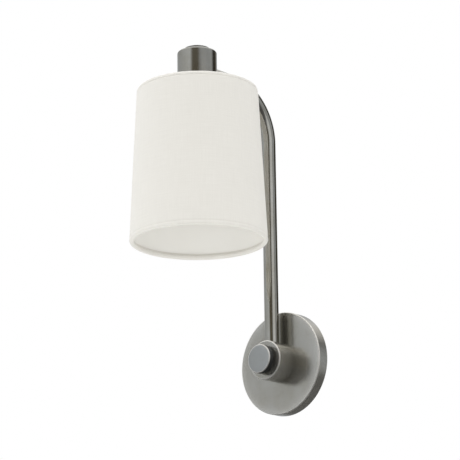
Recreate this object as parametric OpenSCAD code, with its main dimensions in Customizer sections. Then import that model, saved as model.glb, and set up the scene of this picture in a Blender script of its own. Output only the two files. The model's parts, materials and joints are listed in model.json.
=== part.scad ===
// Wall sconce: round backplate, short hub with a rotary switch knob, bent tube arm,
// cylindrical socket cup and a tapered drum shade. The wall is the plane y = 0, the room
// is towards -Y and +Z is up. The origin is the centre of the backplate's wall side.

/* [Backplate] */
// Diameter of the backplate
plate_d = 114.3; // [112:0.1:120]
// How far the backplate's face stands off the wall
plate_depth = 13.2; // [13:0.1:16]
// Sheet thickness of the backplate
plate_wall = 1.6; // [1.2:0.1:1.8]

/* [Hub] */
// Outside diameter of the hub and of the socket cup
hub_d = 43.5; // [43:0.5:46]
// Length of the hub in front of the backplate
hub_len = 25; // [25:0.5:28]
// Wall thickness of the hub and of the socket cup
hub_wall = 3.15; // [3:0.05:3.4]

/* [Knob] */
// Diameter of the switch knob
knob_d = 32; // [30:0.5:33]
// Thickness of the switch knob
knob_len = 7; // [6.5:0.5:9]
// Gap between the hub's face and the knob
knob_gap = 3.3; // [3.1:0.1:4]
// Diameter of the disc on top of the socket cup
disc_d = 29; // [27:0.5:32]

/* [Arm] */
// Outside diameter of the arm tube
arm_d = 15.9; // [15.5:0.1:16.5]
// Wall thickness of the arm tube
arm_wall = 1.6; // [1.2:0.1:1.8]
// Distance from the upright's axis to the shade's axis
arm_reach = 116.5; // [114:0.5:125]
// Height of the arm's horizontal run above the hub's axis
arm_rise = 310; // [300:1:330]
// Radius of the arm's bend, to its centreline
bend_r = 59; // [50:1:62]

/* [Shade] */
// Outside diameter of the shade at its top edge
shade_top_d = 132; // [128:1:136]
// Outside diameter of the shade at its bottom edge
shade_bottom_d = 148.5; // [144:0.5:154]
// Height of the shade
shade_h = 172; // [164:1:180]
// Thickness of the rolled edge of the shade
hem_d = 4.4; // [4.2:0.1:4.6]

/* [Bulb] */
// Largest diameter of the bulb
bulb_d = 60; // [55:1:62]
// Length of the bulb from the tip of its cap to the end of the glass
bulb_len = 108; // [104:1:112]

/* [Hidden] */
$fn = 64;
eps = 0.05;                 // running clearance, and the gap between turned parts

pewter = "#7b786d";
zinc = "#b9bcbd";
linen = "#ece9e0";

// Hub and knob, as distances from the wall
hub_r = hub_d / 2;
bore_r = hub_r - hub_wall;                 // inside of the hub and of the cup
hub_front = plate_depth + hub_len;
front_wall = 3;
back_disc = 3.5;
back_disc_r = bore_r + 1;
knob_back = hub_front + knob_gap;
knob_front = knob_back + knob_len;
shaft_r = 3;
bushing_r = 4.6;
switch_r = 8.25;
switch_len = 10;

// Fastenings behind the backplate, as distances from the wall
pipe_r = 4.85;                             // threaded lamp pipe
pipe_bore_r = 3.4;
bar_t = 2.5;
bar_w = 22;
slot_mid = 39.7;                           // fits boxes with 70 to 89 mm screw spacing
slot_len = 14.3;
slot_w = 4.8;
ear_h = plate_d / 2 - 4.15;                // outer face of the crossbar's ears
ear_screw = 6.4;                           // set screw's and hook pin's distance from the wall
tag_t = 0.6;
washer_t = 1;
nut_t = 3;
tag_at = plate_depth - plate_wall - tag_t;
washer_at = tag_at - washer_t;
nut_at = washer_at - nut_t;

// Arm
arm_r = arm_d / 2;
arm_bore_r = arm_r - arm_wall;
arm_y = -(plate_depth + hub_len / 2);
head_y = arm_y - arm_reach;
seat = sqrt(pow(hub_r, 2) - pow(arm_r, 2)) - 0.05;   // flat floor of the arm's seats
nut_top = sqrt(pow(bore_r, 2) - pow(8.5, 2)) - 0.1;  // where a saddle turns flat
bend_z = arm_rise - bend_r;
bend_y = arm_y - bend_r;

// Head
cup_top = arm_rise + 20;
cup_bottom = arm_rise - 35;
cup_round = 2;
disc_h = 4;
stud_r = 2.95;
bridge_z = arm_rise - 12;
flange_z = cup_bottom - 3.5;               // underside of the socket's flange
flange_r = 21.5;
thread_r = 19.4;
mouth_z = flange_z - 24;
shell_r = 14.1;
spider_t = 1.4;
ring_r = 25.5;                             // outside of the spider's ring

// Shade
shade_top = arm_rise - 24.7;
shade_bottom = shade_top - shade_h;
shade_slope = (shade_bottom_d - shade_top_d) / 2 / shade_h;
function wall_r(z) = shade_bottom_d / 2 - shade_slope * (z - shade_bottom);
hem_r = hem_d / 2;
wire_r = 1.35;
cover_t = 0.7;
liner_t = 0.5;
layer_gap = 0.02;                          // between the cover and the liner
flap_h = 4.2;                              // inside turn of the rolled edge, above its wire

// Bulb
cap_r = 13.2;
tip_z = flange_z + 2;
glass_t = 0.8;

// Leads
lead_r = 1;
lead_x = 1.4;                              // each lead's distance from the arm's middle
lead_y = 10.6;                             // where the leads enter the socket
lead_end = 0.1;                            // gap between a lead's end and what it goes to
connector_x = 16.6;                        // where the wire connectors begin
terminal_y = -(hub_front - front_wall - switch_len - 3.5);

// Local +z points from the wall into the room, starting at that distance from the wall.
module from_wall(distance) {
  translate([0, -distance, 0]) rotate([90, 0, 0]) children();
}

// Local +z points up the shade's axis, starting at that height.
module on_head(height) {
  translate([0, head_y, height]) children();
}

module ring(r, hole_r, h) {
  difference() {
    cylinder(r = r, h = h);
    translate([0, 0, -1]) cylinder(r = hole_r, h = h + 2);
  }
}

module hex_nut(across_flats, hole_r, h) {
  difference() {
    cylinder(r = across_flats / sqrt(3), h = h, $fn = 6);
    translate([0, 0, -1]) cylinder(r = hole_r, h = h + 2);
  }
}

// Headless screw along +z with a hexagon socket in its far end.
module grub_screw(r, h) {
  difference() {
    cylinder(r = r, h = h);
    translate([0, 0, h - 2]) cylinder(r = r * 0.55, h = 3, $fn = 6);
  }
}

module tube_profile(r, hole_r) {
  difference() {
    circle(r = r);
    circle(r = hole_r);
  }
}

function arc(centre, r, from, to, steps) =
  [for (i = [0 : steps]) let (a = from + (to - from) * i / steps)
    centre + r * [cos(a), sin(a)]];

// ---- wall side ----

module backplate() {
  inner_r = plate_d / 2 - plate_wall;
  edge = 1.2;
  color(pewter) difference() {
    from_wall(0) rotate_extrude() polygon(concat(
      [[pipe_r + 0.2, plate_depth]],
      arc([plate_d / 2 - edge, plate_depth - edge], edge, 90, 0, 5),
      [[plate_d / 2, 0], [inner_r, 0], [inner_r, plate_depth - plate_wall],
       [pipe_r + 0.2, plate_depth - plate_wall]]
    ));
    translate([0, -ear_screw, ear_h]) cylinder(r = 2.15, h = 10);
  }
}

module slot(length, width, h) {
  straight = length - width;
  for (end = [-1, 1]) translate([0, end * straight / 2, 0]) cylinder(r = width / 2, h = h);
  translate([-width / 2, -straight / 2, 0]) cube([width, straight, h]);
}

module crossbar() {
  ear_depth = 8.6;
  color(zinc) difference() {
    union() {
      from_wall(0) translate([-bar_w / 2, -ear_h, 0]) cube([bar_w, 2 * ear_h, bar_t]);
      for (side = [-1, 1])
        from_wall(0) translate([-bar_w / 2, side * (ear_h - bar_t / 2) - bar_t / 2, 0])
          cube([bar_w, bar_t, ear_depth]);
    }
    from_wall(-1) cylinder(r = 9, h = bar_t + 2);
    for (side = [-1, 1])
      from_wall(-1) translate([0, side * slot_mid, 0]) slot(slot_len, slot_w, bar_t + 2);
    for (side = [0, 180])
      rotate([0, side, 0]) translate([0, -ear_screw, ear_h - 6]) cylinder(r = 2.05, h = 10);
    from_wall(-1) translate([0, -24, 0]) cylinder(r = 2.05, h = bar_t + 2);
  }
}

// Headless screw through the top of the backplate's rim into the crossbar's upper ear.
module plate_set_screw() {
  color("#55534d") translate([0, -ear_screw, ear_h - bar_t - 1])
    grub_screw(2, plate_d / 2 - ear_h + bar_t + 0.6);
}

// Pin brazed inside the bottom of the backplate's rim, which hooks into the lower ear.
module hook_pin() {
  rim = plate_d / 2 - plate_wall - 0.05;
  color(zinc) translate([0, -ear_screw, -rim]) cylinder(r = 2, h = rim - ear_h + bar_t + 1.5);
}

module ground_screw() {
  color("#2f7d46") from_wall(0.3) translate([0, -24, 0]) difference() {
    union() {
      cylinder(r = 2, h = bar_t);
      translate([0, 0, bar_t - 0.3]) cylinder(r = 3.8, h = 2);
    }
    translate([-3, -0.4, bar_t + 0.9]) cube([6, 0.8, 2]);
  }
}

module ground_tag() {
  color("#c8a24a") from_wall(tag_at) difference() {
    union() {
      cylinder(r = 8, h = tag_t);
      translate([-2, -14, 0]) cube([4, 12, tag_t]);
    }
    translate([0, 0, -1]) cylinder(r = pipe_r + eps, h = tag_t + 2);
  }
}

module hub_nipple() {
  color("#c8a24a") from_wall(nut_at - 0.6)
    ring(pipe_r, pipe_bore_r, plate_depth + back_disc + 0.6 - nut_at);
}

module hub_washer() {
  color(zinc) from_wall(washer_at) ring(8.5, pipe_r + eps, washer_t);
}

module hub_nut() {
  color("#c8a24a") from_wall(nut_at) hex_nut(14, pipe_r + eps, nut_t);
}

// ---- hub and switch ----

module hub_body() {
  chamfer = 0.8;
  color(pewter) difference() {
    from_wall(plate_depth) rotate_extrude() polygon([
      [back_disc_r, 0], [hub_r, 0], [hub_r, hub_len - chamfer], [hub_r - chamfer, hub_len],
      [bushing_r + 0.1, hub_len], [bushing_r + 0.1, hub_len - front_wall],
      [bore_r, hub_len - front_wall], [bore_r, back_disc], [back_disc_r, back_disc]
    ]);
    translate([0, arm_y, seat]) cylinder(r = arm_r + 0.02, h = 10);
    translate([0, arm_y, 10]) cylinder(r = pipe_r + 0.2, h = 20);
  }
}

module hub_back() {
  color(zinc) from_wall(plate_depth) ring(back_disc_r - eps, pipe_r + eps, back_disc - eps);
}

module switch_body() {
  back = hub_front - front_wall - switch_len;
  color("#2b2b2d") difference() {
    from_wall(back) union() {
      cylinder(r = switch_r, h = switch_len - eps);
      cylinder(r = bushing_r, h = switch_len + front_wall + 2.6);
    }
    from_wall(back + 1.5) cylinder(r = shaft_r + eps, h = 30);
  }
}

module switch_terminals() {
  back = hub_front - front_wall - switch_len;
  color("#c8a24a") for (side = [-1, 1])
    from_wall(back - 3.5) translate([side * 4 - 1.5, -3.4, 0]) cube([3, 0.8, 3.5]);
}

module switch_nut() {
  color(zinc) from_wall(hub_front) hex_nut(12, bushing_r + eps, 2.2);
}

module switch_shaft() {
  start = hub_front - front_wall - switch_len + 2;
  color(zinc) from_wall(start) cylinder(r = shaft_r, h = knob_front - 2 - start);
}

module knob() {
  chamfer = 0.7;
  set_screw_at = (knob_back + knob_front) / 2;
  color(pewter) difference() {
    from_wall(knob_back) rotate_extrude() polygon([
      [0, 0.01], [knob_d / 2 - 0.4, 0.01], [knob_d / 2, 0.41],
      [knob_d / 2, knob_len - chamfer], [knob_d / 2 - chamfer, knob_len], [0, knob_len]
    ]);
    from_wall(knob_back - 1) cylinder(r = shaft_r + eps, h = knob_len - 0.8);
    translate([0, -set_screw_at, 0]) cylinder(r = 1.55, h = knob_d);
  }
}

module knob_set_screw() {
  set_screw_at = (knob_back + knob_front) / 2;
  color("#55534d") translate([0, -set_screw_at, shaft_r + 0.1]) grub_screw(1.5, 8);
}

// ---- arm ----

module arm_tube() {
  color(pewter) union() {
    translate([0, arm_y, seat]) linear_extrude(bend_z - seat) tube_profile(arm_r, arm_bore_r);
    translate([0, bend_y, bend_z]) rotate([90, 0, 90]) rotate_extrude(angle = 90)
      translate([bend_r, 0]) tube_profile(arm_r, arm_bore_r);
    translate([0, bend_y, arm_rise]) rotate([90, 0, 0])
      linear_extrude(bend_y - head_y - seat) tube_profile(arm_r, arm_bore_r);
  }
}

// A joint between the arm and a turned housing. Local +z points out of the housing along
// the arm, and the housing's own axis is local y.
module joint_bushing() {
  color("#c8a24a") difference() {
    union() {
      translate([0, 0, seat]) cylinder(r = arm_bore_r - eps, h = 8);
      translate([0, 0, nut_top - nut_t - 1]) cylinder(r = pipe_r, h = seat);
    }
    cylinder(r = pipe_bore_r, h = 3 * seat);
  }
}

module joint_saddle() {
  color(zinc) difference() {
    intersection() {
      translate([0, 0, nut_top]) cylinder(r = 8.4, h = 6);
      rotate([90, 0, 0]) translate([0, 0, -20]) cylinder(r = bore_r - eps, h = 40);
    }
    cylinder(r = pipe_r + eps, h = 3 * seat);
  }
}

module joint_nut() {
  color("#c8a24a") translate([0, 0, nut_top - nut_t]) hex_nut(14, pipe_r + eps, nut_t);
}

module at_foot() {
  translate([0, arm_y, 0]) children();
}

module at_arm_end() {
  translate([0, head_y, arm_rise]) rotate([-90, 0, 0]) children();
}

// ---- head ----

module socket_cup() {
  inner_top = cup_top - cup_bottom - front_wall;
  height = cup_top - cup_bottom;
  color(pewter) difference() {
    on_head(cup_bottom) rotate_extrude() polygon(concat(
      [[bore_r, 0], [hub_r, 0]],
      arc([hub_r - cup_round, height - cup_round], cup_round, 0, 90, 6),
      [[stud_r + 0.1, height], [stud_r + 0.1, inner_top], [bore_r, inner_top]]
    ));
    translate([0, head_y + seat, arm_rise]) rotate([-90, 0, 0])
      cylinder(r = arm_r + 0.02, h = 10);
    translate([0, head_y + 10, arm_rise]) rotate([-90, 0, 0])
      cylinder(r = pipe_r + 0.2, h = 20);
  }
}

module finial_disc() {
  chamfer = 0.6;
  r = disc_d / 2;
  color(pewter) on_head(cup_top) difference() {
    rotate_extrude() polygon([
      [0, 0], [r - 0.4, 0], [r, 0.4], [r, disc_h - chamfer], [r - chamfer, disc_h], [0, disc_h]
    ]);
    translate([0, 0, -1]) cylinder(r = stud_r + eps, h = disc_h);
  }
}

module finial_stud() {
  color(zinc) on_head(bridge_z - 2) cylinder(r = stud_r, h = cup_top + disc_h - 1.2 - bridge_z + 2);
}

module stud_nut() {
  color(zinc) on_head(cup_top - front_wall - 4) hex_nut(10, stud_r + eps, 4);
}

module socket_bridge() {
  color(zinc) on_head(bridge_z) difference() {
    translate([-15, -6, 0]) cube([30, 12, 2]);
    translate([0, 0, -1]) cylinder(r = stud_r + eps, h = 4);
    for (side = [-1, 1]) translate([side * 11, 0, -1]) cylinder(r = 1.85, h = 4);
  }
}

module bridge_nut() {
  color(zinc) on_head(bridge_z + 2) hex_nut(10, stud_r + eps, 4);
}

module socket_screws() {
  color("#c8a24a") for (side = [-1, 1])
    on_head(bridge_z - 8) translate([side * 11, 0, 0]) {
      cylinder(r = 1.75, h = 10);
      translate([0, 0, 10]) cylinder(r = 3.2, h = 2);
    }
}

module socket_body() {
  body_r = 17;
  ceiling = flange_z + 4.5;
  color("#e9e6dd") difference() {
    on_head(0) rotate_extrude() polygon([
      [0, ceiling], [shell_r + eps, ceiling], [shell_r + eps, mouth_z], [thread_r, mouth_z],
      [thread_r, flange_z], [flange_r, flange_z], [flange_r, cup_bottom],
      [body_r, cup_bottom], [body_r, bridge_z], [0, bridge_z]
    ]);
    on_head(bridge_z - 3) cylinder(r = stud_r + 0.5, h = 5);
    for (side = [-1, 1]) {
      on_head(bridge_z - 9) translate([side * 11, 0, 0]) cylinder(r = 1.8, h = 12);
      translate([side * lead_x, head_y + lead_y, bridge_z - 5]) cylinder(r = lead_r + 0.1, h = 8);
    }
  }
}

module socket_shell() {
  color("#c8a24a") on_head(mouth_z + 2) ring(shell_r, shell_r - 0.4, flange_z - mouth_z);
}

module centre_contact() {
  color("#c8a24a") on_head(0) {
    translate([-2.5, -9, flange_z + 3.7]) cube([5, 12, 0.8]);
    translate([0, 0, tip_z]) cylinder(r = 2.4, h = flange_z + 3.7 - tip_z);
  }
}

module shade_ring_nut() {
  height = 8;
  grooves = 12;
  color("#e9e6dd") on_head(flange_z - spider_t - height) difference() {
    ring(24.5, thread_r + eps, height);
    for (i = [0 : grooves - 1]) rotate([0, 0, i * 360 / grooves])
      translate([24.5, 0, -1]) cylinder(r = 1.2, h = height - 1);
  }
}

// ---- shade ----

// A rod between two points of the (radius, height) plane, turned to an angle about the axis.
module spoke(angle, from, to, r) {
  run = to - from;
  rotate([0, 0, angle]) translate([from[0], 0, from[1]])
    rotate([0, 90 - atan2(run[1], run[0]), 0]) cylinder(r = r, h = norm(run));
}

spoke_r = 1.2;
spoke_from = [ring_r + 0.4, flange_z - spider_t / 2];
top_wire = [shade_top_d / 2 - hem_r, shade_top - hem_r];
spoke_to = top_wire - (wire_r + eps) * unit(top_wire - spoke_from);
spoke_angles = [90, 210, 330];

module spider_ring() {
  color(linen) on_head(flange_z - spider_t) ring(ring_r, thread_r + 0.2, spider_t);
}

module spider_spokes() {
  color(linen) on_head(0) for (a = spoke_angles) spoke(a, spoke_from, spoke_to, spoke_r);
}

module edge_wire(edge_r, edge_z) {
  color(zinc) on_head(edge_z) rotate_extrude() translate([edge_r - hem_r, 0])
    circle(r = wire_r);
}

// One layer of the shade's wall, set in from the outer surface, between the rolled edges.
module shade_layer(inset, thickness) {
  low = shade_bottom + hem_d + eps;
  high = shade_top - hem_d - eps;
  low_r = wall_r(low) - inset;
  high_r = wall_r(high) - inset;
  on_head(0) rotate_extrude() polygon([
    [low_r - thickness, low], [low_r, low], [high_r, high], [high_r - thickness, high]
  ]);
}

module shade_cover() {
  color(linen) shade_layer(0, cover_t);
}

module shade_liner() {
  color("#f6f5f0") shade_layer(cover_t + layer_gap, liner_t);
}

// Fabric rolled round an edge wire, with its end turned up (way 1) or down (way -1) inside.
module rolled_edge(edge_r, edge_z, way) {
  flap_t = 0.5;
  shoulder = 110;                          // where the turned end leaves the roll's inside
  centre_r = edge_r - hem_r;
  clear = cover_t + layer_gap + liner_t + 0.1;   // keeps the turned end off the liner
  low_x = wall_r(edge_z + way * hem_r) - clear - centre_r;
  end_x = wall_r(edge_z + way * flap_h) - clear - centre_r;
  roll = arc([0, 0], hem_r, shoulder, 360 + acos(low_x / hem_r), 24);
  outline = concat(roll, [[end_x, flap_h], [end_x - flap_t, flap_h]]);
  on_head(edge_z) rotate_extrude() translate([centre_r, 0]) difference() {
    polygon([for (p = outline) [p[0], p[1] * way]]);
    circle(r = wire_r + eps);
  }
}

module shade_top_hem() {
  color(linen) difference() {
    rolled_edge(shade_top_d / 2, shade_top - hem_r, -1);
    on_head(0) for (a = spoke_angles) spoke(a, spoke_from, spoke_to, spoke_r + eps);
  }
}

module shade_bottom_hem() {
  color(linen) rolled_edge(shade_bottom_d / 2, shade_bottom + hem_r, 1);
}

// ---- bulb, cap upwards ----

neck_z = mouth_z - 2;
globe_z = tip_z - bulb_len + bulb_d / 2;

// Outline of the glass from the neck to the end, drawn in by inset.
function glass_outline(inset) = let (
    r = bulb_d / 2 - inset,
    neck_r = cap_r - 0.6 - inset,
    join = 28,
    join_r = r * cos(join),
    join_z = globe_z + r * sin(join),
    steps = 12
  ) concat(
    [for (i = [0 : steps]) let (t = i / steps, s = t * t * (3 - 2 * t))
      [neck_r + (join_r - neck_r) * (0.55 * s + 0.45 * t * t), neck_z + (join_z - neck_z) * t]],
    arc([0, globe_z], r, join - 8, -90, 16)
  );

module bulb_glass() {
  inner = glass_outline(glass_t);
  color("#f4f2ea") on_head(0) rotate_extrude() polygon(concat(
    glass_outline(0), [for (i = [len(inner) - 1 : -1 : 0]) inner[i]]
  ));
}

module bulb_base() {
  thread_top = tip_z - 5;
  color("#c9c9c6") on_head(0) rotate_extrude() polygon([
    [0, tip_z], [3.5, tip_z], [4.5, tip_z - 1], [cap_r - 3.5, tip_z - 3], [cap_r, thread_top],
    [cap_r, neck_z + 3], [cap_r - 0.6, neck_z + 1], [cap_r - 0.6, neck_z],
    [cap_r - 2.2, neck_z], [cap_r - 2.2, thread_top], [0, thread_top - 2]
  ]);
}

module bulb_stem() {
  color("#e4ecec") on_head(0) rotate_extrude() polygon([
    [0, neck_z], [9, neck_z], [5, neck_z - 6], [2.4, neck_z - 12],
    [2, globe_z + 14], [0, globe_z + 14]
  ]);
}

module bulb_filament() {
  strips = 4;
  color("#e8b64c") on_head(0) for (i = [0 : strips - 1])
    rotate([0, 0, i * 360 / strips + 45]) translate([0, 0, globe_z + 12])
      rotate([0, 158, 0]) translate([0, 0, 2.6]) cylinder(r = 0.9, h = 26);
}

// ---- leads ----

function unit(v) = v / norm(v);
function tangent(p, i) = unit(p[min(i + 1, len(p) - 1)] - p[max(i - 1, 0)]);
function across(n, t) = unit(n - (n * t) * t);

// Directions square to the path, carried along it without twist.
function carried(p, start) = [
  for (i = 0, n = across(start, tangent(p, 0)); i < len(p);
       i = i + 1, n = across(n, tangent(p, min(i, len(p) - 1)))) n];

module lead(path, start) {
  sides = 8;
  normals = carried(path, start);
  rings = [for (i = [0 : len(path) - 1]) let (n = normals[i], b = cross(tangent(path, i), n))
    for (k = [0 : sides - 1]) let (a = 360 * k / sides)
      path[i] + lead_r * (cos(a) * n + sin(a) * b)];
  last = (len(path) - 1) * sides;
  walls = [for (i = [0 : len(path) - 2], k = [0 : sides - 1])
    let (a = i * sides + k, b = i * sides + (k + 1) % sides)
    each [[a, a + sides, b], [b, a + sides, b + sides]]];
  caps = [[for (k = [0 : sides - 1]) k], [for (k = [sides - 1 : -1 : 0]) last + k]];
  polyhedron(points = rings, faces = concat(walls, caps));
}

// Smooth curve through hand-chosen points.
function curve_point(a, b, c, d, t) = 0.5 * (
  2 * b + (c - a) * t + (2 * a - 5 * b + 4 * c - d) * t * t
  + (3 * b - a - 3 * c + d) * t * t * t);
function curved(p, steps = 3) = concat(
  [for (i = [0 : len(p) - 2], s = [0 : steps - 1])
    curve_point(p[max(i - 1, 0)], p[i], p[i + 1], p[min(i + 2, len(p) - 1)], s / steps)],
  [p[len(p) - 1]]);

// Path of a lead up the arm and down into the socket, to one side of the arm's middle.
function up_the_arm(side) = let (x = side * lead_x) concat(
  [[x, arm_y, 14], [x, arm_y, 24]],
  [for (z = [60 : 48 : bend_z - 10]) [x, arm_y, z]],
  [for (a = [0 : 10 : 90]) [x, bend_y + bend_r * cos(a), bend_z + bend_r * sin(a)]],
  [for (p = [[28, 0], [17, 0], [14.4, -0.2], [12, -1.6], [10.8, -4], [lead_y, -7], [lead_y, -16]])
    [x, head_y + p[0], arm_rise + p[1]]]
);

module lead_neutral() {
  behind = [[-15.4, -5.7, -6], [-10, -4.9, -4.4], [-4, -4.3, -0.6], [-1, -4.5, 1.4]];
  in_hub = [[0, -5.6, 1.7], [0, -13, 1.7], [0.2, -17.6, 2.2], [1, -19, 4.6],
            [1.4, -20.6, 8.4], [1.4, -23.6, 10.4]];
  start = [[-connector_x + lead_end, -5.7, -6]];
  color("#efefec") lead(concat(start, curved(concat(behind, in_hub)), up_the_arm(1)), [0, 0, 1]);
}

module lead_switched() {
  in_hub = [[-4, terminal_y + 1.2, -3], [-3.8, -18.6, 0], [-3.2, -18.8, 4], [-2.2, -20.4, 7.8],
            [-1.4, -23.6, 10.4]];
  start = [[-4, terminal_y + lead_end, -3]];
  color("#232323") lead(concat(start, curved(in_hub), up_the_arm(-1)), [1, 0, 0]);
}

module lead_supply() {
  path = [[15.4, -5.7, -6], [10, -4.9, -5], [4.6, -4.3, -2.4], [1.8, -4.8, -1.4],
          [1.5, -7, -1.4], [1.5, -13, -1.4], [1.7, -16.6, -1.5], [3, -18.6, -2.2],
          [4, terminal_y + 1.2, -3]];
  start = [[connector_x - lead_end, -5.7, -6]];
  end = [[4, terminal_y + lead_end, -3]];
  color("#232323") lead(concat(start, curved(path), end), [0, 0, 1]);
}

module lead_ground() {
  path = [[0, -3.65, -19.3], [0, -4.9, -16.8], [0, -7.2, -14.3], [0, 1.4 - tag_at, -12.8]];
  start = [[0, -3.65, lead_end - 20.2]];
  end = [[0, lead_end - tag_at, -12.8]];
  color("#2f7d46") lead(concat(start, curved(path), end), [1, 0, 0]);
}

module wire_connectors() {
  color("#d9862b") for (side = [-1, 1])
    translate([side * connector_x, -5.7, -6]) rotate([0, side * 90, 0])
      cylinder(r1 = 4.5, r2 = 2.8, h = 17);
}

backplate();
crossbar();
plate_set_screw();
hook_pin();
ground_screw();
ground_tag();
hub_nipple();
hub_washer();
hub_nut();
hub_body();
hub_back();
switch_body();
switch_terminals();
switch_nut();
switch_shaft();
knob();
knob_set_screw();
arm_tube();
at_foot() joint_bushing();  // arm_foot_bushing
at_foot() joint_saddle();  // arm_foot_saddle
at_foot() joint_nut();  // arm_foot_nut
at_arm_end() joint_bushing();  // arm_head_bushing
at_arm_end() joint_saddle();  // arm_head_saddle
at_arm_end() joint_nut();  // arm_head_nut
socket_cup();
finial_disc();
finial_stud();
stud_nut();
socket_bridge();
bridge_nut();
socket_screws();
socket_body();
socket_shell();
centre_contact();
shade_ring_nut();
spider_ring();
spider_spokes();
shade_cover();
shade_liner();
shade_top_hem();
shade_bottom_hem();
edge_wire(shade_top_d / 2, shade_top - hem_r);  // shade_top_wire
edge_wire(shade_bottom_d / 2, shade_bottom + hem_r);  // shade_bottom_wire
bulb_glass();
bulb_base();
bulb_stem();
bulb_filament();
lead_supply();
lead_switched();
lead_neutral();
lead_ground();
wire_connectors();
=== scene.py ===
"""Looks for the wall sconce: its metals, the fabric shade, knurling, threads, light and camera.

Lengths are in metres. +Z is up, the wall is the plane y = 0 and the room is towards -Y.
"""
import json
from math import cos, pi, radians, sin, sqrt, tau

import bmesh
import bpy
from mathutils import Matrix, Vector, noise


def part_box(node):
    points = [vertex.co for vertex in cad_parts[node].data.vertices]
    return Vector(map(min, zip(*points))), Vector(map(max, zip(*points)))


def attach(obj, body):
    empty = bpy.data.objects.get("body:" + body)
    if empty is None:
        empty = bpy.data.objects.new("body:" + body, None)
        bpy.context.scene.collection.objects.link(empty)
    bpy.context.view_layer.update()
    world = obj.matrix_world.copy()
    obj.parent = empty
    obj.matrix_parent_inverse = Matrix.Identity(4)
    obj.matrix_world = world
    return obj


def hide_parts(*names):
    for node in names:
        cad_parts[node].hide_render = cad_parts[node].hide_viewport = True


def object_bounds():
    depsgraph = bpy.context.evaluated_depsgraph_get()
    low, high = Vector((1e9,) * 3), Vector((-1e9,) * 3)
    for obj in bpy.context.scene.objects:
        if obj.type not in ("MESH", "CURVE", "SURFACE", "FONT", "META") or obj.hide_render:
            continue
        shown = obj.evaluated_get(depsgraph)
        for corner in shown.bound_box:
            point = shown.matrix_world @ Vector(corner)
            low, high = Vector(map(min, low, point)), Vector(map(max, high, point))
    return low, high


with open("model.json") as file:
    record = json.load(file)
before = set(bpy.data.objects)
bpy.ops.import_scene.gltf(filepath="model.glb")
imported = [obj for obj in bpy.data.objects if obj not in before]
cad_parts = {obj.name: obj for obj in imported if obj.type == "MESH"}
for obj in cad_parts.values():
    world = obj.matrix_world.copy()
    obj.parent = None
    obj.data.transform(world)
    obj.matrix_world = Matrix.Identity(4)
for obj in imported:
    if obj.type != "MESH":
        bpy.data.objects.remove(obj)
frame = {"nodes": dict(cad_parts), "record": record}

MM = 0.001
NODES = frame["nodes"]
cad_box = [list(corner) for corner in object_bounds()]


def middle(node):
    low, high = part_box(node)
    return (low + high) / 2


def half_width(node):
    low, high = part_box(node)
    return (high.x - low.x) / 2


# ---- camera ----

CAMERA_AZIMUTH = radians(42.36)
CAMERA_ELEVATION = radians(-15.76)
CAMERA_ROLL = radians(-0.75)
CAMERA_DISTANCE = 2.4354
CAMERA_AIM = Vector((-0.0183, -0.0720, 0.1447))
LENS_MM = 172.17


def make_camera():
    a, e = CAMERA_AZIMUTH, CAMERA_ELEVATION
    back = Vector((sin(a) * cos(e), -cos(a) * cos(e), sin(e)))
    right = Vector((cos(a), sin(a), 0))
    up = back.cross(right)
    roll = Matrix.Rotation(CAMERA_ROLL, 3, back)
    right, up = roll @ right, roll @ up
    data = bpy.data.cameras.new("camera")
    data.lens = LENS_MM
    data.sensor_width = 36
    data.clip_start, data.clip_end = 0.05, 50
    camera = bpy.data.objects.new("camera", data)
    bpy.context.scene.collection.objects.link(camera)
    turn = Matrix((right, up, back)).transposed().to_4x4()
    camera.matrix_world = Matrix.Translation(CAMERA_AIM + back * CAMERA_DISTANCE) @ turn
    bpy.context.scene.camera = camera


# ---- node helpers ----


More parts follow.
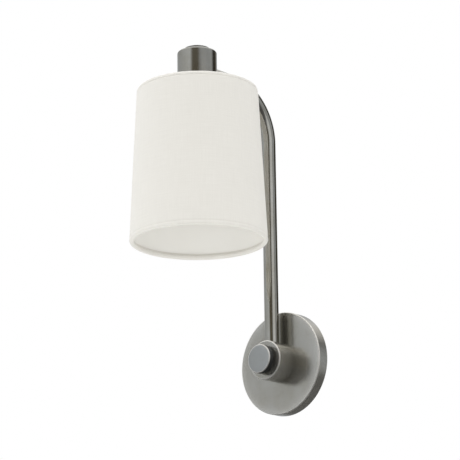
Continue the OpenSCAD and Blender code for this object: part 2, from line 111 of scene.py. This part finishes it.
class Tree:
    """A material's node tree, with short calls for the nodes that the materials share."""

    def __init__(self, name, base=(0.8, 0.8, 0.8), metallic=0.0, roughness=0.5, **sockets):
        self.material = bpy.data.materials.new(name)
        self.material.use_nodes = True
        self.nodes = self.material.node_tree.nodes
        self.links = self.material.node_tree.links
        self.shader = self.nodes["Principled BSDF"]
        values = {"Base Color": (*base, 1), "Metallic": metallic, "Roughness": roughness}
        values.update({key.replace("_", " "): value for key, value in sockets.items()})
        for key, value in values.items():
            self.shader.inputs[key].default_value = value

    def add(self, kind, **settings):
        node = self.nodes.new(kind)
        for key, value in settings.items():
            setattr(node, key, value)
        return node

    def link(self, source, target):
        self.links.new(source, target)

    def math(self, operation, a, b=None):
        """One arithmetic step on sockets or numbers."""
        node = self.add("ShaderNodeMath", operation=operation)
        for index, value in enumerate((a, b)):
            if value is None:
                continue
            if isinstance(value, (int, float)):
                node.inputs[index].default_value = value
            else:
                self.link(value, node.inputs[index])
        return node.outputs[0]

    def position(self, origin=(0, 0, 0)):
        """Object coordinates from that origin."""
        where = self.add("ShaderNodeTexCoord").outputs["Object"]
        moved = self.add("ShaderNodeVectorMath", operation="SUBTRACT")
        self.link(where, moved.inputs[0])
        moved.inputs[1].default_value = origin
        return moved.outputs[0]

    def noise(self, vector, scale, detail=2.0, w=None, roughness=0.5):
        """Noise with features about 1 / scale metres across, in four dimensions when w is given."""
        node = self.add("ShaderNodeTexNoise", noise_dimensions="3D" if w is None else "4D")
        node.inputs["Scale"].default_value = scale
        node.inputs["Detail"].default_value = detail
        node.inputs["Roughness"].default_value = roughness
        self.link(vector, node.inputs["Vector"])
        if w is not None:
            self.link(w, node.inputs["W"])
        return node.outputs["Fac"]

    def blend(self, share, a, b):
        """Colour a where share is 0 and b where it is 1."""
        node = self.add("ShaderNodeMix", data_type="RGBA")
        self.link(share, node.inputs[0])
        for index, value in ((6, a), (7, b)):
            if isinstance(value, tuple):
                node.inputs[index].default_value = (*value, 1)
            else:
                self.link(value, node.inputs[index])
        return node.outputs[2]

    def ramp(self, value, stops):
        """A straight ramp through stops, which are (place, level) or (place, colour)."""
        node = self.add("ShaderNodeValToRGB")
        elements = node.color_ramp.elements
        while len(elements) < len(stops):
            elements.new(0.5)
        for element, (place, colour) in zip(elements, stops):
            element.position = place
            element.color = (*colour, 1) if isinstance(colour, tuple) else (*[colour] * 3, 1)
        self.link(value, node.inputs[0])
        return node.outputs[0]

    def bump(self, height, distance, strength=1.0, below=None):
        """A normal that height raises by distance, on top of the normal below."""
        node = self.add("ShaderNodeBump")
        node.inputs["Strength"].default_value = strength
        node.inputs["Distance"].default_value = distance
        self.link(height, node.inputs["Height"])
        if below is not None:
            self.link(below, node.inputs["Normal"])
        return node.outputs[0]

    def drive(self, **outputs):
        """Links outputs to the shader's sockets of those names and returns the material."""
        for key, output in outputs.items():
            self.link(output, self.shader.inputs[key.replace("_", " ")])
        return self.material


# ---- materials ----


def turned(tree, origin, axis):
    """Lathe coordinates: (radius, direction) as a vector, the radius and the place on the axis."""
    where = tree.position(origin)
    parts = tree.add("ShaderNodeSeparateXYZ")
    tree.link(where, parts.inputs[0])
    x, along, other = (0, 1, 2) if axis == "Y" else (0, 2, 1)
    a, b = parts.outputs[x], parts.outputs[other]
    squares = tree.math("ADD", tree.math("MULTIPLY", a, a), tree.math("MULTIPLY", b, b))
    radius = tree.math("SQRT", tree.math("ADD", squares, 1e-9))
    vector = tree.add("ShaderNodeCombineXYZ")
    tree.link(radius, vector.inputs[0])
    for index, side in ((1, a), (2, b)):
        turn = tree.math("DIVIDE", side, radius)
        tree.link(tree.math("MULTIPLY", turn, 0.0012), vector.inputs[index])
    return vector.outputs[0], radius, parts.outputs[along]


PEWTER_LOW = (0.355, 0.338, 0.292)
PEWTER_HIGH = (0.44, 0.435, 0.408)
BARE_AND_HIGHLIGHT = (0.82, 0.80, 0.76)              # bright bare metal: wear on edges, and painted highlight on edges, plate rim and hub front
FACE = (0.385, 0.415, 0.44)            # the knob's face, a little bluer
GRIP_PAINTED_SHADE = (0.05, 0.055, 0.06)             # painted shade: near black on the knob's knurled side
BARE_ROUGHNESS = (0.5, 0.5, 0.5)
EDGE_BAND_WIDTH = 1.1 * MM                  # how far from an edge its bright band of wear and painted highlight reaches
PATCH_SCALE, GRAIN_SCALE = 26, 900     # features per metre in the pewter's noise
TUBE_SCALE, LATHE_SCALE = 1400, 1500
LINE_DEPTH, GRAIN_DEPTH = 0.004 * MM, 0.0012 * MM


def worn_and_highlit_edges(tree, radius, along, edges):
    """1 on the round edges at each (radius, place on the axis): worn bare metal and a painted
    highlight.
    """
    nearest = None
    for edge_radius, edge_along in edges:
        across = tree.math("SUBTRACT", radius, edge_radius)
        down = tree.math("SUBTRACT", along, edge_along)
        squares = tree.math("ADD", tree.math("MULTIPLY", across, across),
                            tree.math("MULTIPLY", down, down))
        distance = tree.math("SQRT", squares)
        nearest = distance if nearest is None else tree.math("MINIMUM", nearest, distance)
    return tree.ramp(tree.math("DIVIDE", nearest, EDGE_BAND_WIDTH), [(0.5, 1.0), (1.0, 0.0)])


def pewter(name, origin=(0, 0, 0), axis=None, rough=0.3, line=1.0, edges=(), satin=0.0,
           tone=1.0, bands=()):
    """Aged pewter plating, brushed round the axis it was turned on, or plain without an axis.

    line scales the brushing's depth; edges, as (radius, place on the axis), get wear and a painted
    highlight.
    satin is the share of its light that the finish scatters instead of mirroring, and tone
    darkens the metal. Each band is ("radius" or "along", full value, ramp stops, colour): the
    metal turns towards the colour as its radius, or its place on the axis, nears the full value.
    """
    tree = Tree(name, metallic=1.0 - satin, roughness=rough)
    where = tree.position(origin)
    patches = tree.noise(where, PATCH_SCALE, 4, roughness=0.6)
    grain = tree.noise(where, GRAIN_SCALE, 3, roughness=0.6)
    if axis is None:
        lines = tree.noise(where, TUBE_SCALE, 2)
    else:
        vector, radius, along = turned(tree, origin, axis)
        lines = tree.noise(vector, LATHE_SCALE, 3, w=tree.math("MULTIPLY", along, LATHE_SCALE))
    worn = tree.math("ADD", tree.math("MULTIPLY", patches, 0.6), tree.math("MULTIPLY", grain, 0.4))
    low, high = (tuple(tone * c for c in shade) for shade in (PEWTER_LOW, PEWTER_HIGH))
    colour = tree.ramp(worn, [(0.36, low), (0.62, high)])
    mixed = tree.math("ADD", tree.math("MULTIPLY", lines, 0.6), tree.math("MULTIPLY", patches, 0.4))
    roughness = tree.ramp(mixed, [(0.3, rough - 0.02), (0.7, rough + 0.03)])
    # Bands blend in painted highlight, painted reflection and painted shade, and the knob face's
    # bluer tone.
    for over, full, stops, target in bands:
        part = tree.math("DIVIDE", radius if over == "radius" else along, full)
        colour = tree.blend(tree.ramp(part, stops), colour, target)
    # The edges turn bright: worn bare metal, and a painted highlight along them.
    if edges:
        worn_and_highlit = worn_and_highlit_edges(tree, radius, along, edges)
        colour = tree.blend(worn_and_highlit, colour, BARE_AND_HIGHLIGHT)
        roughness = tree.blend(worn_and_highlit, roughness, BARE_ROUGHNESS)
    surface = tree.bump(lines, LINE_DEPTH * line, below=tree.bump(grain, GRAIN_DEPTH * line))
    return tree.drive(Base_Color=colour, Roughness=roughness, Normal=surface)


def plated(name, base, rough=0.34, metallic=1.0, thread=None):
    """Bright zinc, brass or steel hardware. thread is a screw thread's axis and its pitch."""
    tree = Tree(name, base, metallic, rough)
    where = tree.position()
    clouds = tree.noise(where, 160, 4)
    grain = tree.noise(where, 2500, 2)
    dull = tuple(c * 0.72 for c in base)
    colour = tree.ramp(clouds, [(0.32, dull), (0.62, base)])
    roughness = tree.ramp(grain, [(0.3, rough - 0.06), (0.7, rough + 0.1)])
    surface = tree.bump(grain, 0.006 * MM)
    if thread is not None:
        axis, pitch = thread
        parts = tree.add("ShaderNodeSeparateXYZ")
        tree.link(where, parts.inputs[0])
        ridges = tree.math("SINE", tree.math("MULTIPLY", parts.outputs[axis], tau / pitch))
        surface = tree.bump(ridges, THREAD_DEPTH, below=surface)
    return tree.drive(Base_Color=colour, Roughness=roughness, Normal=surface)


def moulded(name, base, rough, **sockets):
    """Moulded plastic or wire insulation."""
    tree = Tree(name, base, 0.0, rough, **sockets)
    where = tree.position()
    grain = tree.noise(where, 1800, 2)
    clouds = tree.noise(where, 90, 3)
    shade = tuple(c * 0.9 for c in base)
    colour = tree.ramp(clouds, [(0.3, shade), (0.7, base)])
    roughness = tree.ramp(clouds, [(0.3, rough - 0.05), (0.7, rough + 0.08)])
    surface = tree.bump(grain, 0.006 * MM)
    return tree.drive(Base_Color=colour, Roughness=roughness, Normal=surface)


THREADS_PER_METRE = 2100


def linen():
    """Fine off-white linen. Its weave follows the cloth's own map, in metres."""
    tree = Tree("linen", roughness=0.86, Sheen_Weight=0.06, Sheen_Roughness=0.5)
    cloth = tree.add("ShaderNodeUVMap", uv_map="cloth")
    parts = tree.add("ShaderNodeSeparateXYZ")
    tree.link(cloth.outputs[0], parts.inputs[0])
    wander = tree.math("MULTIPLY", tree.noise(cloth.outputs[0], 260, 2), 0.0009)
    waves = []
    for output in parts.outputs[:2]:
        phase = tree.math("MULTIPLY", tree.math("ADD", output, wander), THREADS_PER_METRE * pi)
        waves.append(tree.math("SINE", phase))
    crossed = tree.math("MULTIPLY", waves[0], waves[1])
    slubs = []
    for scale in ((40, 900, 1), (900, 40, 1)):
        stretched = tree.add("ShaderNodeMapping")
        stretched.inputs["Scale"].default_value = scale
        tree.link(cloth.outputs[0], stretched.inputs["Vector"])
        slubs.append(tree.noise(stretched.outputs[0], 1.0, 3))
    slub = tree.math("MULTIPLY", tree.math("ADD", *slubs), 0.5)
    tone = tree.math("ADD", tree.math("MULTIPLY", crossed, 0.05), slub)
    colour = tree.ramp(tone, [(0.3, (0.744, 0.721, 0.674)), (0.7, (0.787, 0.765, 0.718))])
    weave = tree.bump(crossed, 0.05 * MM, 0.6)
    return tree.drive(Base_Color=colour, Normal=tree.bump(slub, 0.06 * MM, 0.4, below=weave))


def styrene():
    """The shade's white plastic lining."""
    tree = Tree("styrene", roughness=0.55)
    where = tree.position()
    soft = tree.noise(where, 14, 2)
    colour = tree.ramp(soft, [(0.3, (0.87, 0.855, 0.815)), (0.7, (0.885, 0.873, 0.84))])
    return tree.drive(Base_Color=colour, Normal=tree.bump(tree.noise(where, 700, 2), 0.004 * MM))


def frosted_glass():
    """The bulb's glass, which lets about half the light through."""
    tree = Tree("frosted_glass", (0.93, 0.93, 0.91), 0.0, 0.34, Transmission_Weight=0.55, IOR=1.48)
    grain = tree.noise(tree.position(), 3000, 2)
    return tree.drive(Normal=tree.bump(grain, 0.004 * MM))


BRASS = (0.74, 0.58, 0.29)
PIPE_PITCH = 0.94 * MM                 # 27 threads to the inch
THREAD_DEPTH = 0.14 * MM


def make_materials():
    """Every material, by name. The lathe-turned ones take their axes and edges from the CAD."""
    cup = middle("socket_cup")
    on_cup = (cup.x, cup.y, 0)
    rim = 0.35 * MM
    plate_edge = (half_width("backplate") - rim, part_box("backplate")[0].y + rim)
    hub_edge = (half_width("hub_body") - rim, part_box("hub_body")[0].y + rim)
    knob_edge = (half_width("knob") - rim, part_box("knob")[0].y + rim)
    # Painted highlight: the plate turns towards bright bare metal near its rim.
    plate_painted_highlight = ("radius", half_width("backplate"),
                 [(0.62, 0.0), (0.86, 0.07), (0.98, 0.3), (0.997, 0.0)], BARE_AND_HIGHLIGHT)
    # Painted reflection: the hub's side turns bright towards its front.
    hub_painted_reflection = ("along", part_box("hub_body")[0].y, [(0.42, 0.0), (0.95, 0.6), (0.985, 0.0)], BARE_AND_HIGHLIGHT)
    knob_face = ("radius", half_width("knob"), [(0.95, 0.5), (0.965, 0.0)], FACE)
    # Painted shade: the knob's knurled side turns near black.
    knob_grip_painted_shade = ("radius", half_width("knob"), [(0.965, 0.0), (0.98, 0.85)], GRIP_PAINTED_SHADE)
    materials = {
        "pewter_plate": pewter("pewter_plate", axis="Y", rough=0.2, line=0.04,
                               edges=[plate_edge], satin=0.09, bands=[plate_painted_highlight]),
        "pewter_hub": pewter("pewter_hub", axis="Y", rough=0.22, line=0.25,
                             edges=[hub_edge], satin=0.12, bands=[hub_painted_reflection]),
        "pewter_cup": pewter("pewter_cup", on_cup, "Z", rough=0.17, line=1.6),
        "pewter_tube": pewter("pewter_tube", rough=0.12, line=0.12),
        "pewter_knob": pewter("pewter_knob", axis="Y", edges=[knob_edge],
                              bands=[knob_face, knob_grip_painted_shade]),
        # tone 0.55 darkens the disc's metal: painted shade for its dark-looking side.
        "pewter_disc": pewter("pewter_disc", on_cup, "Z", tone=0.55),
        "zinc": plated("zinc", (0.62, 0.63, 0.63)),
        "brass": plated("brass", BRASS, 0.3),
        "threaded_pipe": plated("threaded_pipe", BRASS, 0.3, thread=(1, PIPE_PITCH)),
        "black_screw": plated("black_screw", (0.06, 0.06, 0.058), 0.42, 0.6),
        "green_screw": plated("green_screw", (0.06, 0.3, 0.13), 0.38, 0.4),
        "linen": linen(),
        "styrene": styrene(),
        "white_enamel": moulded("white_enamel", (0.84, 0.84, 0.82), 0.3, Coat_Weight=0.4),
        "ivory_plastic": moulded("ivory_plastic", (0.80, 0.78, 0.71), 0.36),
        "black_plastic": moulded("black_plastic", (0.035, 0.035, 0.038), 0.45),
        "orange_plastic": moulded("orange_plastic", (0.78, 0.30, 0.05), 0.42),
        "frosted_glass": frosted_glass(),
        "bulb_metal": plated("bulb_metal", (0.75, 0.75, 0.74), 0.28),
        "filament": moulded("filament", (0.9, 0.66, 0.2), 0.5),
        "black_wire": moulded("black_wire", (0.03, 0.03, 0.03), 0.4),
        "white_wire": moulded("white_wire", (0.8, 0.8, 0.78), 0.4),
        "green_wire": moulded("green_wire", (0.05, 0.26, 0.1), 0.4),
    }
    return materials


BY_SLOT = {
    "zinc": "zinc", "brass": "brass", "black_screw": "black_screw", "linen": "linen",
    "styrene": "styrene", "white_enamel": "white_enamel", "ivory_plastic": "ivory_plastic",
    "black_plastic": "black_plastic", "orange_plastic": "orange_plastic",
    "bulb_glass": "frosted_glass", "bulb_metal": "bulb_metal", "filament": "filament",
    "wire_black": "black_wire", "wire_white": "white_wire", "wire_green": "green_wire",
    "pewter": "pewter_tube", "pewter_dark": "pewter_knob",
}
BY_NODE = {
    "backplate": "pewter_plate", "hub_body": "pewter_hub", "socket_cup": "pewter_cup",
    "finial_disc": "pewter_disc", "ground_screw": "green_screw", "hub_nipple": "threaded_pipe",
}


def paint_frame(materials):
    """Gives each CAD node its own material, or else the one for its slot."""
    for row in frame["record"]["subparts"]:
        node = row["node"]
        name = BY_NODE.get(node, BY_SLOT[row["material_slot"]])
        data = NODES[node].data
        data.materials.clear()
        data.materials.append(materials[name])


# ---- meshes ----


def grid(name, rows, material, wrap=True, uv=None, sharp=35):
    """A mesh from rows of points, each row joined to the next and, when wrapped, to its own start.

    uv gives the cloth map's point for a row and column. Edges above sharp degrees stay sharp.
    """
    count, width = len(rows), len(rows[0])
    points = [tuple(p) for row in rows for p in row]
    faces, maps = [], []
    for i in range(count - 1):
        for j in range(width if wrap else width - 1):
            here, above, j2 = i * width, (i + 1) * width, (j + 1) % width
            faces.append((here + j, here + j2, above + j2, above + j))
            maps.append(((i, j), (i, j + 1), (i + 1, j + 1), (i + 1, j)))
    mesh = bpy.data.meshes.new(name)
    mesh.from_pydata(points, [], faces)
    if uv is not None:
        layer = mesh.uv_layers.new(name="cloth")
        for polygon, corners in zip(mesh.polygons, maps):
            for loop, (i, j) in zip(polygon.loop_indices, corners):
                layer.data[loop].uv = uv(i, j)
    mesh.materials.append(material)
    mesh.polygons.foreach_set("use_smooth", [True] * len(mesh.polygons))
    mesh.set_sharp_from_angle(angle=radians(sharp))
    mesh.update()
    piece = bpy.data.objects.new(name, mesh)
    bpy.context.scene.collection.objects.link(piece)
    return piece


def on_z_axis(centre):
    """Places (radius, angle, height) about a vertical axis."""
    return lambda r, a, h: (centre.x + r * cos(a), centre.y + r * sin(a), h)


def on_y_axis(centre):
    """Places (radius, angle, distance from the wall) about an axis that leaves the wall."""
    return lambda r, a, h: (centre.x + r * cos(a), -h, centre.z + r * sin(a))


def hand_in(piece, body, slot, *nodes):
    """Attaches a piece to the body that it rides on and hides the CAD nodes that it stands for.
    slot is not used.
    """
    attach(piece, body)
    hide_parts(*nodes)


# ---- the fabric shade ----

def ramp_up(value, width):
    """0 below -width, 1 above width, and smooth between."""
    t = min(1.0, max(0.0, 0.5 + value / width / 2))
    return t * t * (3 - 2 * t)


SHADE_STEPS = 256
ROLL = 2.2 * MM
CLOTH = 0.45 * MM
FLAP = 4.2 * MM


def shade_profile():
    """(radius, height) along the cloth, from the inner flap at the bottom to the one on top."""
    low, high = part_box("shade_bottom_hem")[0].z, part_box("shade_top_hem")[1].z
    bottom, top = half_width("shade_bottom_hem"), half_width("shade_top_hem")
    slope = (bottom - top) / (high - low)
    wall = lambda h: bottom - slope * (h - low)
    inset = 1.3 * MM
    points = [(wall(low + ROLL + FLAP * t) - inset - 0.1 * MM * t, low + ROLL + FLAP * t)
              for t in (1.0, 0.85, 0.6)]
    roll = bottom - ROLL
    for degrees in range(118, 401, 14):
        a = radians(degrees)
        points.append((roll + ROLL * cos(a), low + ROLL + ROLL * sin(a)))
    crease = low + 2 * ROLL - 0.25 * MM
    points.append((wall(crease) - 0.42 * MM, crease))
    points += [(wall(low + h * MM) - d * MM, low + h * MM)
               for h, d in ((4.7, 0.16), (5.3, 0.03), (6.2, 0.0))]
    straight = 26
    first, last = low + 7.5 * MM, high - 7.5 * MM
    for i in range(straight + 1):
        h = first + (last - first) * i / straight
        points.append((wall(h), h))
    points += [(wall(high - h * MM) - d * MM, high - h * MM)
               for h, d in ((6.2, 0.0), (5.3, 0.02), (4.7, 0.08))]
    points.append((wall(high - 2 * ROLL + 0.25 * MM) - 0.2 * MM, high - 2 * ROLL + 0.25 * MM))
    roll = top - ROLL
    for degrees in range(-40, 243, 14):
        a = radians(degrees)
        points.append((roll + ROLL * cos(a), high - ROLL + ROLL * sin(a)))
    points += [(wall(high - ROLL - FLAP * t) - inset - 0.1 * MM * t, high - ROLL - FLAP * t)
               for t in (0.6, 0.85, 1.0)]
    return points, low, high


def make_shade(materials):
    """One cloth, rolled over both edge wires, with the lap of its glued seam at the back."""
    profile, low, high = shade_profile()
    centre = middle("shade_cover")
    place = on_z_axis(centre)
    lengths = [0.0]
    for (r0, h0), (r1, h1) in zip(profile, profile[1:]):
        lengths.append(lengths[-1] + sqrt((r1 - r0) ** 2 + (h1 - h0) ** 2))
    seam, lap = pi / 2, 9 * MM
    rows = []
    for r, h in profile:
        edge = min(h - low, high - h)
        near_edge = max(0.0, 1 - edge / (7 * MM))
        row = []
        for j in range(SHADE_STEPS):
            a = tau * j / SHADE_STEPS
            round_it = Vector((cos(a) * 3, sin(a) * 3, h * 90))
            uneven = noise.noise(round_it * 1.6) * 0.05 * MM
            puckers = noise.noise(Vector((cos(a) * 16, sin(a) * 16, h * 200))) * 0.16 * MM
            arc_length = (a - seam) * r
            lapped = ramp_up(lap / 2 - abs(arc_length), 0.8 * MM)
            out = uneven + puckers * near_edge + 0.3 * MM * lapped * (edge > 4 * MM)
            row.append(place(r + out, a, h + puckers * near_edge * 0.6))
        rows.append(row)
    mean = sum(r for r, _ in profile) / len(profile)
    piece = grid("shade_fabric", rows, materials["linen"], sharp=70,
                 uv=lambda i, j: (tau * j / SHADE_STEPS * mean, lengths[min(i, len(lengths) - 1)]))
    thick = piece.modifiers.new("cloth", "SOLIDIFY")
    thick.thickness = CLOTH
    thick.offset = 1.0
    hand_in(piece, "fixture", "linen", "shade_cover", "shade_top_hem", "shade_bottom_hem")


# ---- knurled knob ----

KNOB_COLUMNS = 360
KNOB_TEETH = 90
KNURL_ROWS = 14
KNURL_DEPTH = 0.28 * MM
KNURL_LEAD = 1.1 * MM                  # along the axis from one tooth to the next
KNURL_MARGIN = 0.35 * MM               # plain metal beside the knurling
FRONT_CHAMFER = 0.75 * MM
BACK_CHAMFER = 0.4 * MM
AXIS_R = 0.01 * MM                     # the last ring of a turned mesh, before weld closes it
SHARP_KNOB = 32
SCREW_HOLE_R = 1.55 * MM
SCREW_HOLE_FROM = 2.5 * MM             # inside the shaft, so that the hole reaches it
DRILL_COLUMNS = 48


def knurl_row(place, radius, along, lead):
    """One ring of the knurling, where two sets of sloping grooves cross."""
    row = []
    for j in range(KNOB_COLUMNS):
        a = tau * j / KNOB_COLUMNS
        left = abs(((a * KNOB_TEETH / tau + lead) % 1) - 0.5) * 2
        right = abs(((a * KNOB_TEETH / tau - lead) % 1) - 0.5) * 2
        groove = KNURL_DEPTH * max(0.0, 1.25 * max(left, right) - 0.25)
        row.append(place(radius - groove, a, along))
    return row


def plain_row(place, radius, along):
    return [place(radius, tau * j / KNOB_COLUMNS, along) for j in range(KNOB_COLUMNS)]


def make_knob(materials):
    """A knurled knob in the CAD knob's place and size, with the hole for its set screw."""
    low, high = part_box("knob")
    centre, radius, start, length = middle("knob"), half_width("knob"), -high.y, high.y - low.y
    place = on_y_axis(centre)
    rows = [plain_row(place, r, start + h) for r, h in (
        (AXIS_R, 0), (radius * 0.5, 0), (radius - BACK_CHAMFER - KNURL_DEPTH, 0),
        (radius - KNURL_DEPTH, BACK_CHAMFER))]
    side = length - FRONT_CHAMFER - BACK_CHAMFER - 2 * KNURL_MARGIN
    for i in range(KNURL_ROWS + 1):
        h = BACK_CHAMFER + KNURL_MARGIN + side * i / KNURL_ROWS
        rows.append(knurl_row(place, radius, start + h, h / KNURL_LEAD))
    rows += [plain_row(place, r, start + h) for r, h in (
        (radius - 0.1 * MM, length - FRONT_CHAMFER),
        (radius - FRONT_CHAMFER * 0.55, length - FRONT_CHAMFER * 0.2),
        (radius - FRONT_CHAMFER, length),
        (radius * 0.6, length - 0.02 * MM),
        (radius * 0.25, length - 0.03 * MM),
        (AXIS_R, length - 0.03 * MM))]
    piece = grid("knob_knurled", rows, materials["pewter_knob"], sharp=SHARP_KNOB)
    weld(piece)
    hand_in(piece, "knob", "pewter_dark", "knob")
    drill(piece, centre, SCREW_HOLE_R, SCREW_HOLE_FROM, radius + 1 * MM)


def weld(piece):
    """Closes the tiny rings that a turned mesh has where it meets its axis."""
    mesh = bmesh.new()
    mesh.from_mesh(piece.data)
    bmesh.ops.remove_doubles(mesh, verts=mesh.verts, dist=3 * AXIS_R)
    mesh.to_mesh(piece.data)
    mesh.free()


def drill(piece, centre, radius, start, end):
    """Cuts a round hole up from centre, between those heights above it."""
    place = on_z_axis(centre)
    rows = []
    for r, h in ((AXIS_R, start), (radius, start), (radius, end), (AXIS_R, end)):
        rows.append([place(r, tau * j / DRILL_COLUMNS, centre.z + h) for j in range(DRILL_COLUMNS)])
    bit = grid("drill", rows, piece.data.materials[0])
    weld(bit)
    cut = piece.modifiers.new("hole", "BOOLEAN")
    cut.operation = "DIFFERENCE"
    cut.solver = "EXACT"
    cut.object = bit
    evaluated = piece.evaluated_get(bpy.context.evaluated_depsgraph_get())
    mesh = bpy.data.meshes.new_from_object(evaluated)
    piece.modifiers.remove(cut)
    piece.data = mesh
    mesh.set_sharp_from_angle(angle=radians(SHARP_KNOB))
    bpy.data.objects.remove(bit)


# ---- wire connectors ----


def joined(name, pieces):
    """One piece from several meshes that share a material."""
    whole = bmesh.new()
    for piece in pieces:
        whole.from_mesh(piece.data)
    first = pieces[0]
    whole.to_mesh(first.data)
    whole.free()
    for piece in pieces[1:]:
        bpy.data.objects.remove(piece)
    first.name = name
    return first


CONNECTOR_START = 16.6 * MM            # from the middle to each connector's open end
CONNECTOR_TIP_R = 2.8 * MM
CONNECTOR_COLUMNS = 144
RIBS, RIB_DEPTH = 12, 0.38 * MM


def make_connectors(materials):
    """Two twist-on connectors, ribbed for the fingers, with a plain skirt where the wires enter."""
    low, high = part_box("wire_connectors")
    centre = (low + high) / 2
    skirt_r = (high.z - low.z) / 2
    cone_r = skirt_r - 0.15 * MM
    length = high.x - CONNECTOR_START
    profile = [(1.25 * MM, 1.5 * MM, 0.0), (1.6 * MM, 0, 0.0), (skirt_r - 0.4 * MM, 0, 0.0),
               (skirt_r, 0.4 * MM, 0.0), (skirt_r, 2.4 * MM, 0.0)]
    steps = 10
    for i in range(steps + 1):
        t = i / steps
        h = 2.9 * MM + (length - 4.1 * MM) * t
        profile.append((cone_r + (CONNECTOR_TIP_R - cone_r) * t, h, min(1.0, 4 * t, 5 * (1 - t))))
    profile += [(CONNECTOR_TIP_R * r, length - h * MM, 0.0)
                for r, h in ((0.94, 0.6), (0.75, 0.2), (0.45, 0.04), (0.01, 0))]
    pieces = []
    for side in (-1, 1):
        rows = []
        for r, h, ribbed in profile:
            row = []
            for j in range(CONNECTOR_COLUMNS):
                a = tau * j / CONNECTOR_COLUMNS
                out = r - ribbed * RIB_DEPTH * (0.5 - 0.5 * cos(a * RIBS)) ** 1.6
                row.append((side * (CONNECTOR_START + h), centre.y + out * cos(a),
                            centre.z - side * out * sin(a)))
            rows.append(row)
        pieces.append(grid("wire_connector", rows, materials["orange_plastic"], sharp=40))
    piece = joined("wire_connectors_ribbed", pieces)
    hand_in(piece, "fixture", "orange_plastic", "wire_connectors")


# ---- lights and floor ----


GLOSSY_DIM = 0.4                       # how much darker the room is in the metal's mirror
COOL, WARM = (0.97, 1.0, 1.03), (1.0, 0.90, 0.68)


def round_the_room():
    """The room's walls by azimuth: bright panels, and the dark gaps that streak the metal."""
    walls = [(-180, 0.35, WARM), (-166, 0.62, COOL), (-140, 0.85, COOL), (-100, 0.86, COOL),
             (-40, 1.15, COOL), (2, 1.34, COOL), (16, 0.26, WARM), (48, 0.26, WARM),
             (60, 0.72, COOL), (104, 0.74, COOL), (138, 0.95, COOL), (149, 0.08, WARM),
             (172, 0.06, WARM), (180, 0.35, WARM)]
    return [(degrees / 360 + 0.5, tuple(level * c for c in tint)) for degrees, level, tint in walls]


def make_world():
    """A studio in shades of grey. The camera itself sees plain white."""
    world = bpy.data.worlds.new("studio")
    bpy.context.scene.world = world
    world.use_nodes = True
    tree = Tree.__new__(Tree)
    tree.nodes, tree.links = world.node_tree.nodes, world.node_tree.links
    tree.nodes.clear()
    direction = tree.add("ShaderNodeTexCoord").outputs["Generated"]
    parts = tree.add("ShaderNodeSeparateXYZ")
    tree.link(direction, parts.inputs[0])
    azimuth = tree.math("ARCTAN2", parts.outputs[0], tree.math("MULTIPLY", parts.outputs[1], -1.0))
    turn = tree.math("ADD", tree.math("DIVIDE", azimuth, tau), 0.5)
    walls = tree.ramp(turn, round_the_room())
    height = tree.math("ADD", tree.math("MULTIPLY", parts.outputs[2], 0.5), 0.5)
    beside = tree.ramp(height, [(0.34, 0.0), (0.44, 1.0), (0.74, 1.0), (0.84, 0.0)])
    ends = tree.ramp(height, [(0.34, 0.25), (0.44, 0.3), (0.72, 1.2), (0.84, 1.75)])
    room = tree.add("ShaderNodeBackground")
    tree.link(tree.blend(beside, ends, walls), room.inputs["Color"])
    glossy = tree.add("ShaderNodeLightPath").outputs["Is Glossy Ray"]
    dimmed = tree.math("SUBTRACT", 1.0, tree.math("MULTIPLY", glossy, GLOSSY_DIM))
    tree.link(dimmed, room.inputs["Strength"])
    white = tree.add("ShaderNodeBackground")
    white.inputs["Color"].default_value = (1, 1, 1, 1)
    seen = tree.add("ShaderNodeLightPath").outputs["Is Camera Ray"]
    mix = tree.add("ShaderNodeMixShader")
    tree.link(seen, mix.inputs[0])
    tree.link(room.outputs[0], mix.inputs[1])
    tree.link(white.outputs[0], mix.inputs[2])
    tree.link(mix.outputs[0], tree.add("ShaderNodeOutputWorld").inputs["Surface"])


def make_softbox(name, place, aim, size, power):
    """A rectangular light of that size in metres and power in watts."""
    data = bpy.data.lights.new(name, "AREA")
    data.shape = "RECTANGLE"
    data.size, data.size_y = size
    data.energy = power
    light = bpy.data.objects.new(name, data)
    bpy.context.scene.collection.objects.link(light)
    light.location = place
    light.rotation_euler = (Vector(aim) - Vector(place)).to_track_quat("-Z", "Y").to_euler()
    light.visible_camera = False


FLOOR_HALF_SIDE = 16.0
FLOOR_DROP = 2.4                       # below the lamp, as under a wall light


def make_stage():
    """The plain pale floor, kept out of the metal's reflections."""
    size, height = FLOOR_HALF_SIDE, cad_box[0][2] - FLOOR_DROP
    rows = [[(x * size, y * size, height) for x in (-1, 1)] for y in (-1, 1)]
    floor = grid("floor", rows, floor_material(), wrap=False)
    floor.visible_glossy = False


def floor_material():
    tree = Tree("floor", (0.8, 0.8, 0.79), 0.0, 0.8)
    mottle = tree.noise(tree.position(), 3, 3)
    colour = tree.ramp(mottle, [(0.3, (0.78, 0.78, 0.77)), (0.7, (0.82, 0.82, 0.81))])
    return tree.drive(Base_Color=colour)


def make_lights():
    """The studio, two softboxes and a weak point light inside the shade, under the bulb."""
    make_world()
    make_softbox("key", (-1.9, -1.7, 2.4), (0, -0.1, 0.15), (1.3, 1.6), 1.5)
    make_softbox("low_side", (0.98, -0.2, 0.36), (0, -0.03, 0.1), (0.7, 0.5), 0.55)
    below_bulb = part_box("bulb_glass")[0].z - 14 * MM
    data = bpy.data.lights.new("in_shade", "POINT")
    data.energy = 0.014
    data.shadow_soft_size = 10 * MM
    lit = bpy.data.objects.new("in_shade", data)
    bpy.context.scene.collection.objects.link(lit)
    lit.location = (0, middle("bulb_glass").y, below_bulb)
    lit.visible_camera = False


# ---- everything ----

make_camera()
materials = make_materials()
paint_frame(materials)
make_shade(materials)
make_knob(materials)
make_connectors(materials)
make_lights()
make_stage()
bpy.context.scene.view_settings.view_transform = "Standard"
